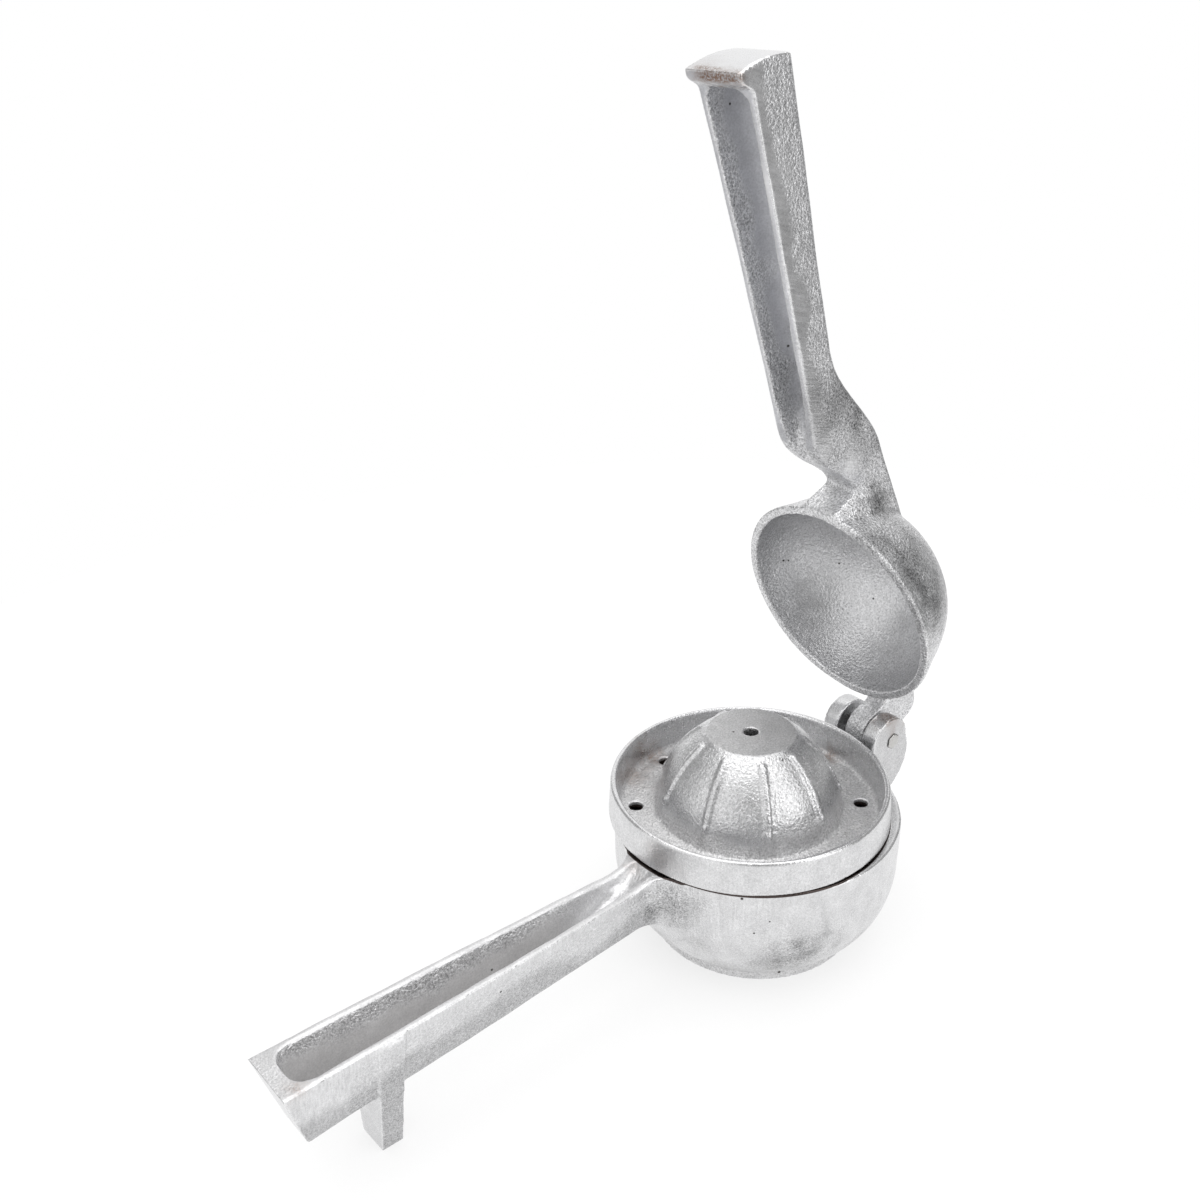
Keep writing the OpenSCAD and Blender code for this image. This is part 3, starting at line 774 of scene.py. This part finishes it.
@dataclass
class BaseCasting(Casting):
    """Bowl, foot ring, channel handle, leg and hinge ears in one casting."""

    finish: CastAluminium = CastAluminium(
        "tumbled_sand_cast_aluminium_base",
        seam=Seam(),
        black_pits=(
            (-102.5, 3.9, 31.4, 0.8), (-29.5, -34.7, 33.0, 0.6), (-32.8, -31.7, 28.5, 0.7),
            (-35.4, -28.7, 41.0, 0.9), (-17.5, -28.9, 2.7, 1.0), (-107.3, -7.2, 33.9, 0.8),
        ),
    )
    node: str = "base_casting"
    seed: int = 11
    spots: tuple[Spot, ...] = (
        Spot(Mark.STAINED, (53.2, -8.5, 58.2), 4.0, 0.9),
        Spot(Mark.STAINED, (-49.7, 2.9, 41.0), 2.5, 0.35),
        Spot(Mark.STAINED, (-170.0, -7.5, 41.0), 2.5, 0.5),
        Spot(Mark.PEBBLED, (-46.6, -8.9, 34.4), 8.0, 0.8),
        # Painted shade: dark patches on the bowl beside the handle's root and low on its near side
        Spot(Mark.GRIMY_AND_SHADED, (-45.5, -10.0, 32.0), 7.0, 0.5),
        Spot(Mark.GRIMY_AND_SHADED, (-26.4, -34.8, 16.8), 7.0, 0.4),
        Spot(Mark.GRIMY_AND_SHADED, (-17.8, -40.9, 19.7), 7.0, 0.45),
        Spot(Mark.PEBBLED, (-20.0, -38.0, 18.0), 9.0, 0.6),
    )
    bowl_r: float = 45.6
    rim_z: float = 42.9
    handle_end: float = 174.5
    top_z: float = 40.7
    top_end_z: float = 41.0
    # Length over which the handle's top climbs to the rim
    climb: float = 14.0
    ear_out: float = 11.0
    # Half width and end of the channel, and where its floor starts to climb
    channel_half_w: float = 7.9
    channel_end: float = -170.0
    ramp_x: tuple[float, float] = (-86.0, -66.0)
    # Inside corners: radius in general, and between which x each place has how much more
    corner_r: float = 0.9
    root: tuple[float, float, float] = (-60.0, -40.0, 2.6)
    ears: tuple[float, float, float] = (38.0, 70.0, 2.0)
    leg: tuple[float, float, float] = (-152.0, -134.0, 1.2)
    channel_more: float = 1.2

    def top(self, p: np.ndarray) -> np.ndarray:
        """Gives the height of the handle's top face at each point's x, with its climb to the rim.

        Args:
            p: Points in millimetres.

        Returns:
            Heights.
        """
        x = p[:, 0]
        along = (-self.bowl_r - x) / (self.handle_end - self.bowl_r)
        climb = (self.rim_z - self.top_z) * fade(x, -self.bowl_r - self.climb, -self.bowl_r)
        return self.top_z + (self.top_end_z - self.top_z) * along + climb

    def fillets(self, p: np.ndarray) -> np.ndarray:
        """Wide where the handle, leg and ears leave the bowl, narrow in the channel.

        Args:
            p: Points in millimetres.

        Returns:
            Radii.
        """
        x, y, z = p.T
        low = z < self.rim_z - 5
        root = self.root[2] * band(x, *self.root[:2], 4) * low
        ears = self.ears[2] * band(x, *self.ears[:2], 4) * low
        leg = self.leg[2] * band(x, *self.leg[:2], 2) * (z < 24)
        channel = self.channel_more * (x < -50) * (np.abs(y) < 7) * (z > 22)
        return self.corner_r + root + ears + leg + channel

    def rounds(self, p: np.ndarray) -> np.ndarray:
        """Sharp at the rim, softer on the handle."""
        return 0.3 + 0.35 * fade(p[:, 0], -50, -56)

    def marks(self, p: np.ndarray, n: np.ndarray) -> dict[Mark, np.ndarray]:
        """Channel floor dull, its walls hammered, end face ground, sides and bowl belt-marked.

        Args:
            p: Points in millimetres.
            n: Outward normals.

        Returns:
            The shares.
        """
        x, y, z = p.T
        below = self.top(p) - z
        on_handle = fade(x, -46, -50)
        facing_in = -n[:, 1] * np.sign(y)
        inside = on_handle * fade(below, 0.3, 1.1)
        inside *= fade(np.maximum(facing_in, n[:, 2]), 0.1, 0.4)
        inside *= (np.abs(y) < self.channel_half_w) * (x > self.channel_end)
        ramp = inside * fade(x, *self.ramp_x)
        wall = inside * fade(below - 1.5 * Waver(7, 14).at(p), 6.5, 2.5) * (1 - ramp)
        land = on_handle * fade(below, 0.7, 0.2) * fade(n[:, 2], 0.6, 0.9) * (1 - inside)
        end_land = land * fade(x, -168, -169.5)
        end_face = fade(n[:, 0], -0.75, -0.9) * (x < -165)
        side = on_handle * fade(facing_in, -0.6, -0.8) * (1 - inside)
        strip_h = 4.0 + 1.2 * Waver(5, 26).at(p) + 30 * fade(x, -152, -162)
        belt = side * fade(below - strip_h, 0, -2)
        low_side = side * fade(below + 3 * Waver(12, 30).at(p), 9, 15)
        ear = fade(x, 44, 46) * fade(np.abs(y), self.ear_out - 0.35, self.ear_out - 0.15)
        bowl = fade(x, -50, -44) * (1 - ear)
        rough_low = bowl * fade(z - 5 * Waver(8, 18).at(p), 16, 10)
        linished = bowl * fade(z, 20, 26) * fade(Waver(15, 20).at(p), -0.4, 0.6)
        pebbled = 0.9 * wall + 0.05 * ramp + 0.25 * side * (1 - belt)
        return {
            Mark.DULL: inside * (1 - 0.8 * wall) * (1 - 0.8 * ramp) + 0.2 * rough_low + 0.3 * land,
            Mark.GROUND: 0.75 * end_face + 0.1 * ear + 0.2 * belt,
            Mark.LINISHED: belt + 0.6 * linished + 0.6 * end_face,
            Mark.PEBBLED: pebbled + 0.4 * rough_low + 0.2 * end_land,
            Mark.WORN_AND_HIGHLIGHT: 0.2 * bowl * (1 - rough_low) + 0.6 * wall + 0.3 * ramp,
            Mark.GRIMY_AND_SHADED: 0.4 * low_side + 0.2 * ear,
        }


@dataclass
class StrainerInsert(Casting):
    """Wall ring, basin and ribbed reamer dome of the loose strainer."""

    finish: CastAluminium = CastAluminium(
        "tumbled_sand_cast_aluminium_strainer",
        seam=Seam(),
        black_pits=((-8.1, 3.4, 72.0, 0.8), (-6.2, -15.8, 70.3, 0.7)),
    )
    node: str = "strainer_insert"
    seed: int = 21
    spots: tuple[Spot, ...] = (
        Spot(Mark.STAINED, (-14.4, 40.2, 50.4), 3.5, 0.6),
        Spot(Mark.STAINED, (-21.4, 36.3, 45.1), 4.5, 0.6),
        Spot(Mark.STAINED, (-9.3, 39.9, 45.1), 4.0, 0.7),
        Spot(Mark.STAINED, (35.8, 1.0, 44.8), 2.5, 0.8),
        Spot(Mark.STAINED, (-47.8, -5.8, 47.8), 6.0, 0.25),
    )
    centre_x: float = -3.8
    dome_top_z: float = 72.0
    basin_z: float = 44.7
    wall_r: float = 41.2
    drain_circle: float = 35.9
    drain_d: float = 4.4
    drain_turn: float = 5.0
    drains: int = 8
    dome_hole_d: float = 4.6
    dome_foot_r: float = 28.9
    ribs: int = 9
    rib_turn: float = 36.5
    rib_w: float = 1.9
    rib_h: float = 0.5
    # Inside corners: radius in general, and how much more there is round the dome's foot
    corner_r: float = 0.5
    foot_more: float = 5.2

    def nearest(self, p: np.ndarray, count: int, turn: float) -> tuple[np.ndarray, np.ndarray]:
        """Measures from the nearest of several evenly spaced rays out of the strainer's axis.

        Args:
            p: Points in millimetres.
            count: How many rays there are.
            turn: Direction of the first one, in degrees.

        Returns:
            How far each point lies beside its ray, and how far along it.
        """
        x, y = p[:, 0] - self.centre_x, p[:, 1]
        r, step = np.hypot(x, y), 2 * math.pi / count
        angle = np.arctan2(y, x) - math.radians(turn)
        angle -= step * np.round(angle / step)
        return r * np.sin(angle), r * np.cos(angle)

    def fillets(self, p: np.ndarray) -> np.ndarray:
        """A broad round where the dome meets the basin, and small ones beside the ribs."""
        r, up = np.hypot(p[:, 0] - self.centre_x, p[:, 1]), p[:, 2] - self.basin_z
        return self.corner_r + self.foot_more * band(r, 24, 37, 3) * (up > -1) * (up < 9)

    def dents(self, p: np.ndarray) -> np.ndarray:
        """Carries the ribs on over the broad fillet, which would bury their ends.

        A rib is a step with soft sides, by the distance from its middle line.

        Args:
            p: Points in millimetres.

        Returns:
            Heights in millimetres.
        """
        aside, along = self.nearest(p, self.ribs, self.rib_turn)
        rib = fade(np.abs(aside), self.rib_w / 2 + 0.1, self.rib_w / 2 - 0.4)
        on_fillet = band(p[:, 2] - self.basin_z, 0.9, 9, 1.6)
        return self.rib_h * rib * on_fillet * (np.hypot(aside, along) < self.dome_foot_r)

    def rounds(self, p: np.ndarray) -> np.ndarray:
        """Crisp everywhere: at the holes, the dome's flat top and the wall's foot."""
        return np.full(len(p), 0.25)

    def marks(self, p: np.ndarray, n: np.ndarray) -> dict[Mark, np.ndarray]:
        """The dome's flat top is dull, the basin and the dome's side are hammered, the holes soiled
        with oxide.

        Args:
            p: Points in millimetres.
            n: Outward normals.

        Returns:
            The shares.
        """
        z = p[:, 2]
        r = np.hypot(p[:, 0] - self.centre_x, p[:, 1])
        top, floor = self.dome_top_z, self.basin_z
        flat = fade(z, top - 0.8, top - 0.3) * fade(n[:, 2], 0.85, 0.95)
        within = fade(r, self.wall_r + 1.5, self.wall_r + 0.5)
        low = within * fade(z - 3 * Waver(9, 15).at(p), floor + 8, floor + 2)
        dome = within * fade(z, floor + 5, floor + 11) * (1 - flat)
        aside, along = self.nearest(p, self.drains, self.drain_turn)
        drain = np.hypot(aside, along - self.drain_circle)
        bore = (drain < self.drain_d / 2 + 0.2) * fade(z, floor - 0.3, floor - 0.7)
        bore += (r < self.dome_hole_d / 2 + 0.2) * fade(z, top - 0.3, top - 0.7)
        rim = fade(r, self.wall_r - 0.5, self.wall_r)
        return {
            Mark.DULL: 0.4 * flat + 0.4 * low * (1 - rim),
            Mark.PEBBLED: 0.6 * low * (1 - rim) + 0.45 * dome + 0.15 * rim,
            Mark.LINISHED: 0.3 * rim,
            Mark.GROUND: 0.15 * rim,
            Mark.GRIMY_AND_SHADED: 0.7 * bore + 0.4 * flat,
        }


@dataclass
class PressArm(Casting):
    """Press cup, tongue, crank and channel handle in one casting."""

    finish: CastAluminium = CastAluminium(
        "tumbled_sand_cast_aluminium_press",
        dull="c2c3c8",
        scratch_turn_deg=-73.4,
        black_pits=(
            (-13.3, 6.6, 256.4, 0.7), (9.8, 4.5, 190.7, 0.8), (41.8, 31.2, 105.3, 0.8),
            (43.5, 30.5, 105.0, 0.7), (57.0, 20.0, 103.4, 0.7), (61.2, 7.9, 93.3, 0.7),
        ),
    )
    node: str = "press_arm"
    seed: int = 31
    spots: tuple[Spot, ...] = (
        Spot(Mark.GROUND, (-13.3, -9.0, 240.4), 5.0, 0.8),
        Spot(Mark.GROUND, (-12.0, -8.5, 234.0), 4.0, 0.6),
        Spot(Mark.GROUND, (27.9, -6.3, 153.7), 4.5, 0.9),
        Spot(Mark.STAINED, (-26.6, 4.1, 263.9), 2.4, 0.9),
        Spot(Mark.STAINED, (-26.6, 0.4, 263.9), 2.4),
        Spot(Mark.STAINED, (-26.6, -3.5, 263.9), 2.4),
        Spot(Mark.STAINED, (-26.6, -8.0, 263.9), 2.2, 0.9),
        Spot(Mark.STAINED, (-23.9, 6.5, 266.5), 4.0, 0.2),
        # Painted shade: dark patches on the cup's outside, on the neck and on the near side of the
        # bend
        Spot(Mark.GRIMY_AND_SHADED, (26.4, -19.0, 135.0), 5.5, 0.7),
        Spot(Mark.GRIMY_AND_SHADED, (32.5, -28.4, 126.9), 9.5, 0.85),
        Spot(Mark.GRIMY_AND_SHADED, (39.5, -33.8, 114.5), 8.0, 0.85),
        Spot(Mark.GRIMY_AND_SHADED, (20.7, -8.1, 175.6), 13.0, 0.8),
        Spot(Mark.GRIMY_AND_SHADED, (34.0, -7.0, 157.0), 9.0, 0.45),
        Spot(Mark.LINISHED, (29.5, -27.4, 125.9), 14.0),
        Spot(Mark.DULL, (27.5, -3.0, 148.0), 5.0, 0.9),
        Spot(Mark.WORN_AND_HIGHLIGHT, (28.5, 0.0, 144.0), 7.0, 0.8),
        Spot(Mark.LINISHED, (27.9, -6.3, 153.7), 5.0),
        # Painted shade: a dark patch beside the cup's lip
        Spot(Mark.GRIMY_AND_SHADED, (38.5, -8.1, 139.5), 4.5),
    )
    body: str = "press"
    pin_x: float = 53.9
    pin_z: float = 49.2
    open_deg: float = 73.4
    reach: float = 230.6
    notch_start: float = 123.0
    # How far the handle's open faces lie below the pin, where they start and at the end
    face_drop: float = 9.5
    face_end_drop: float = 12.4
    cup_reach: float = 58.6
    cup_drop: float = 5.6
    cup_r: float = 34.7
    channel_half_w: float = 7.9
    channel_end: float = 226.0
    channel_top: float = 2.5
    # Inside corners: radius in general, and how much more the neck, root and channel have
    corner_r: float = 0.9
    corner_more: float = 1.4

    def closed(self, p: np.ndarray, turn_only: bool = False) -> np.ndarray:
        """Turns points to the closed arm's own axes: distance from the pin, side, height.

        Args:
            p: Points in millimetres, with the arm open, or directions.
            turn_only: Whether they are directions.

        Returns:
            One row of distance, side and height a point.
        """
        a = math.radians(self.open_deg)
        x, y, z = (p if turn_only else p - (self.pin_x, 0, self.pin_z)).T
        away = z * math.sin(a) - x * math.cos(a)
        return np.stack([away, y, x * math.sin(a) + z * math.cos(a)], axis=1)

    def face(self, d: np.ndarray) -> np.ndarray:
        """Gives the height of the handle's open face at a distance from the pin."""
        along = np.clip(d - self.notch_start, 0, None) / (self.reach - self.notch_start)
        return -(self.face_drop + (self.face_end_drop - self.face_drop) * along**1.4)

    def fillets(self, p: np.ndarray) -> np.ndarray:
        """Wide at the neck, the tongue's root and in the channel, narrow elsewhere.

        Args:
            p: Points in millimetres.

        Returns:
            Radii.
        """
        d, y, _ = self.closed(p).T
        neck_and_root = band(d, 86, 106, 4) + band(d, 12, 30, 4)
        channel = (d > 112) * (np.abs(y) < 7)
        return self.corner_r + self.corner_more * (neck_and_root + channel)

    def rounds(self, p: np.ndarray) -> np.ndarray:
        """Crisp at the end lip and the cup's lip, softer at the neck."""
        return 0.35 + 0.5 * band(self.closed(p)[:, 0], 90, 150, 10)

    def marks(self, p: np.ndarray, n: np.ndarray) -> dict[Mark, np.ndarray]:
        """Channel and open faces dull, end face ground, belt strips beside them, the rest hammered.

        Args:
            p: Points in millimetres.
            n: Outward normals.

        Returns:
            The shares.
        """
        (d, y, h), (nd, ny, nh) = self.closed(p).T, self.closed(n, turn_only=True).T
        above = h - self.face(d)
        on_handle = fade(d, 106, 114)
        facing_in = -ny * np.sign(y)
        inside = on_handle * fade(above, 0.3, 1.1) * fade(np.maximum(facing_in, -nh), 0.1, 0.4)
        inside *= (np.abs(y) < self.channel_half_w) * (d < self.channel_end)
        inside *= h < self.channel_top
        wall = inside * fade(above - 1.5 * Waver(7, 14).at(p), 7.5, 3.5)
        land = on_handle * fade(above, 0.7, 0.2) * fade(nh, -0.6, -0.9) * (1 - inside)
        end = fade(nd, 0.4, 0.55) * (d > 200)
        side = on_handle * fade(facing_in, -0.6, -0.8) * (1 - inside)
        strip_h = 5.0 + 1.6 * Waver(6, 26).at(p) + 1.5 * fade(d, 190, 140)
        belt = side * fade(above - strip_h, 0, -1)
        off = np.sqrt((d - self.cup_reach) ** 2 + y**2 + (h + self.cup_drop) ** 2)
        cup_in = fade(off, self.cup_r - 1.2, self.cup_r - 2) * fade(d, 94, 92) * (d > 23)
        cast = 1 - np.maximum.reduce([inside, end, belt, cup_in])
        return {
            Mark.DULL: 0.85 * inside * (1 - 0.6 * wall) + 0.1 * cup_in + 0.1 * cast + 0.6 * land,
            Mark.GROUND: 0.9 * end + 0.1 * belt,
            Mark.LINISHED: belt,
            Mark.PEBBLED: 0.9 * wall + 0.9 * cast * (1 - land) + 0.35 * cup_in,
            Mark.WORN_AND_HIGHLIGHT: 0.5 * wall,
        }


@dataclass
class HingePin:
    """The rivet: a plain shank with a hammered head at each end."""

    finish: CastAluminium = CastAluminium(
        "peened_aluminium_rivet", metal="c4c3c1", roughness=0.36, pebble_depth_mm=0.1
    )
    x: float = 53.9
    z: float = 49.2
    shank_r: float = 1.9
    head_r: float = 2.7
    head_h: float = 0.6
    length: float = 22.0
    # How far the head's underside sinks into the ear
    head_sink: float = 0.05
    # Flats that the hammer left round each head, and their depth as a share of the radius
    flats: int = 6
    flat_depth: float = 0.05
    turns: int = 72

    def points(self) -> np.ndarray:
        """Carries a profile round the hinge's axis.

        The profile runs from one head's middle over its rim and the shank to the other head's. A
        head's height is head_h * sqrt(1 - (0.98 * share)^2) at each share of its radius, and its
        flats make the radius waver as radius * (1 - flat_depth * cos(flats * angle + 0.4)).

        Returns:
            A grid of points in millimetres, rings by turns.
        """
        half = self.length / 2
        share = np.linspace(0.02, 1, 9)
        head_y = half + self.head_h * np.sqrt(1 - (0.98 * share) ** 2)
        head = np.stack([self.head_r * share, head_y], axis=1)
        shank = np.array([[self.shank_r, half - self.head_sink], [self.shank_r, 0.0]])
        side = np.concatenate([head, shank])
        profile = np.concatenate([side, side[:-1][::-1] * (1, -1)])
        r, y = profile[:, :1], profile[:, 1:]
        angle = np.linspace(0, 2 * math.pi, self.turns, endpoint=False)
        hammered = self.flat_depth * np.cos(self.flats * angle + 0.4) * (r > self.shank_r / 2)
        r = r * (1 - hammered)
        y = np.broadcast_to(y, r.shape)
        return np.stack([self.x + r * np.cos(angle), y, self.z + r * np.sin(angle)], axis=2)

    def build(self) -> bpy.types.Object:
        """Makes the rivet's mesh and dresses it.

        Returns:
            The piece that stands for the node.
        """
        grid = self.points()
        rings, turns = grid.shape[:2]
        sides = grid_faces(rings, turns, closed=True)
        numbers = np.arange(rings * turns)
        ends = [numbers[:turns][::-1].tolist(), numbers[-turns:].tolist()]
        piece = add_mesh("hinge_rivet", grid.reshape(-1, 3) * MM, [*sides.tolist(), *ends])
        mesh = piece.data
        work = bmesh.new()
        work.from_mesh(mesh)
        bmesh.ops.recalc_face_normals(work, faces=work.faces)
        work.to_mesh(mesh)
        work.free()
        mesh.polygons.foreach_set("use_smooth", np.ones(len(mesh.polygons), bool))
        mesh.materials.append(self.finish.material())
        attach(piece, "base")
        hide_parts("hinge_pin")
        return piece


# ------------------------------------------------------------------ studio


@dataclass(frozen=True)
class Softbox:
    """A light tent panel, placed by its direction from the squeezer. Angles are in degrees."""

    name: str
    azimuth: float
    low: float
    high: float
    width: float
    radiance: float
    distance: float = 1.3
    centre_z: float = 0.12

    def hang(self) -> None:
        """Adds the area lamp, facing the squeezer, with its power worked out from its radiance."""
        way = Vector(heading(self.azimuth, (self.low + self.high) / 2))
        wide, tall = (
            2 * self.distance * math.tan(math.radians(angle / 2))
            for angle in (self.width, self.high - self.low)
        )
        light = bpy.data.lights.new(self.name, "AREA")
        light.shape, light.size, light.size_y = "RECTANGLE", wide, tall
        light.energy = self.radiance * math.pi * wide * tall
        lamp = bpy.data.objects.new(self.name, light)
        lamp.location = Vector((0, 0, self.centre_z)) + way * self.distance
        lamp.rotation_euler = way.to_track_quat("Z", "Y").to_euler()
        lamp.visible_camera = False
        bpy.context.scene.collection.objects.link(lamp)


@dataclass(frozen=True)
class GreyCard:
    """A curved grey card that the metal mirrors, so that its form shows against the white room."""

    name: str
    start: float
    end: float
    grey: float
    low: float = -35.0
    high: float = 56.0
    distance: float = 1.5
    steps: int = 24

    def stand(self) -> None:
        """Adds the card: distance * heading, over a grid of its azimuths and elevations."""
        angles = np.meshgrid(
            np.linspace(self.start, self.end, self.steps),
            np.linspace(self.low, self.high, self.steps),
            indexing="ij",
        )
        points = self.distance * heading(*angles).reshape(-1, 3)
        card = add_mesh(self.name, points, grid_faces(self.steps, self.steps, closed=False))
        felt = new_material("grey_felt_" + self.name)
        glow = add_node(
            felt.node_tree, "ShaderNodeEmission", {"Color": WHITE, "Strength": self.grey}
        )
        add_node(felt.node_tree, "ShaderNodeOutputMaterial", {"Surface": glow})
        card.data.materials.append(felt)
        card.visible_camera = card.visible_diffuse = card.visible_shadow = False


@dataclass
class Studio:
    """Camera, pale table, white room, two softboxes and the grey cards between them."""

    eye: tuple[float, float, float] = (-0.26581, -0.24642, 0.29846)
    ahead: tuple[float, float, float] = (0.56662, 0.69008, -0.45026)
    right: tuple[float, float, float] = (0.76742, -0.64093, -0.01657)
    up: tuple[float, float, float] = (0.30001, 0.33615, 0.89274)
    lens_mm: float = 40.65
    sensor_mm: float = 36.0
    clip_range: tuple[float, float] = (0.01, 20.0)
    table_r: float = 0.42
    table_rings: int = 23
    table_turns: int = 96
    # The table's paint, and what it glows by so that it looks as white as the room
    table_paint: str = "959595"
    table_glow: float = 0.68
    panels: tuple[Softbox, ...] = (
        Softbox("softbox_front", -80, -8, 56, 40, 0.7),
        Softbox("softbox_top", 90, 58, 122, 64, 0.9),
    )
    cards: tuple[GreyCard, ...] = (
        GreyCard("card_camera", -142, -100, 0.42),
        GreyCard("card_right", -60, 12, 0.38),
        GreyCard("card_back", 84, 140, 0.44),
    )

    def camera(self) -> None:
        """Adds the camera."""
        data = bpy.data.cameras.new("camera")
        data.sensor_width, data.lens = self.sensor_mm, self.lens_mm
        data.clip_start, data.clip_end = self.clip_range
        eye = bpy.data.objects.new("camera", data)
        columns = [Vector(self.right), Vector(self.up), -Vector(self.ahead), Vector(self.eye)]
        eye.matrix_world = Matrix([[c[i] for c in columns] for i in range(3)] + [[0, 0, 0, 1]])
        bpy.context.scene.collection.objects.link(eye)
        bpy.context.scene.camera = eye

    def room(self) -> None:
        """Makes the world: one plain white, for the camera and the metal alike."""
        world = bpy.data.worlds.new("white_room")
        world.use_nodes = True
        tree = world.node_tree
        tree.nodes.clear()
        white = add_node(tree, "ShaderNodeBackground", {"Color": WHITE, "Strength": 1.0})
        add_node(tree, "ShaderNodeOutputWorld", {"Surface": white})
        world.cycles.sampling_method = "NONE"
        bpy.context.scene.world = world

    def table(self) -> None:
        """Makes the round white table: its points are radius * (cos, sin) of the angle at height 0.

        Its paint scatters a third of the light, which keeps the squeezer's shadow, and glows for
        the rays of the camera, of mirrors and of glass, so that they all see it white.
        """
        radius = np.linspace(0, self.table_r, self.table_rings + 1)[1:, None]
        angle = np.linspace(0, 2 * math.pi, self.table_turns, endpoint=False)
        flat = np.zeros((self.table_rings, self.table_turns))
        grid = np.stack([radius * np.cos(angle), radius * np.sin(angle), flat], axis=2)
        # Turned round, so that the faces point up
        rings = grid_faces(self.table_rings, self.table_turns, closed=True)[:, ::-1]
        middle = list(range(self.table_turns))
        floor = add_mesh("table", grid.reshape(-1, 3), [*rings.tolist(), middle])
        paint = new_material("matt_white_table")
        tree = paint.node_tree
        seen = 0.0
        for ray in ("Is Camera Ray", "Is Glossy Ray", "Is Transmission Ray"):
            by_ray = add_node(tree, "ShaderNodeLightPath", out=ray)
            seen = add_node(tree, MATH, (by_ray, seen), operation="MAXIMUM")
        glow = add_node(tree, MATH, (seen, self.table_glow), operation="MULTIPLY")
        matt = add_node(tree, "ShaderNodeBsdfDiffuse", {"Color": linear(self.table_paint)})
        lift = add_node(tree, "ShaderNodeEmission", {"Color": WHITE, "Strength": glow})
        both = add_node(tree, "ShaderNodeAddShader", (matt, lift))
        add_node(tree, "ShaderNodeOutputMaterial", {"Surface": both})
        floor.data.materials.append(paint)

    def build(self) -> None:
        """Sets up the whole studio."""
        self.camera()
        self.room()
        self.table()
        for panel in self.panels:
            panel.hang()
        for card in self.cards:
            card.stand()
        bpy.context.scene.view_settings.view_transform = "Standard"


def main() -> None:
    """Builds the four pieces and the studio, and reports each piece."""
    logging.basicConfig(level=logging.INFO, format="%(message)s")
    for piece in (BaseCasting(), StrainerInsert(), PressArm(), HingePin()):
        made = piece.build()
        size = len(made.data.vertices), len(made.data.polygons)
        LOG.info("%s: %d points, %d faces", made.name, *size)
    Studio().build()


if __name__ == "__main__":
    main()
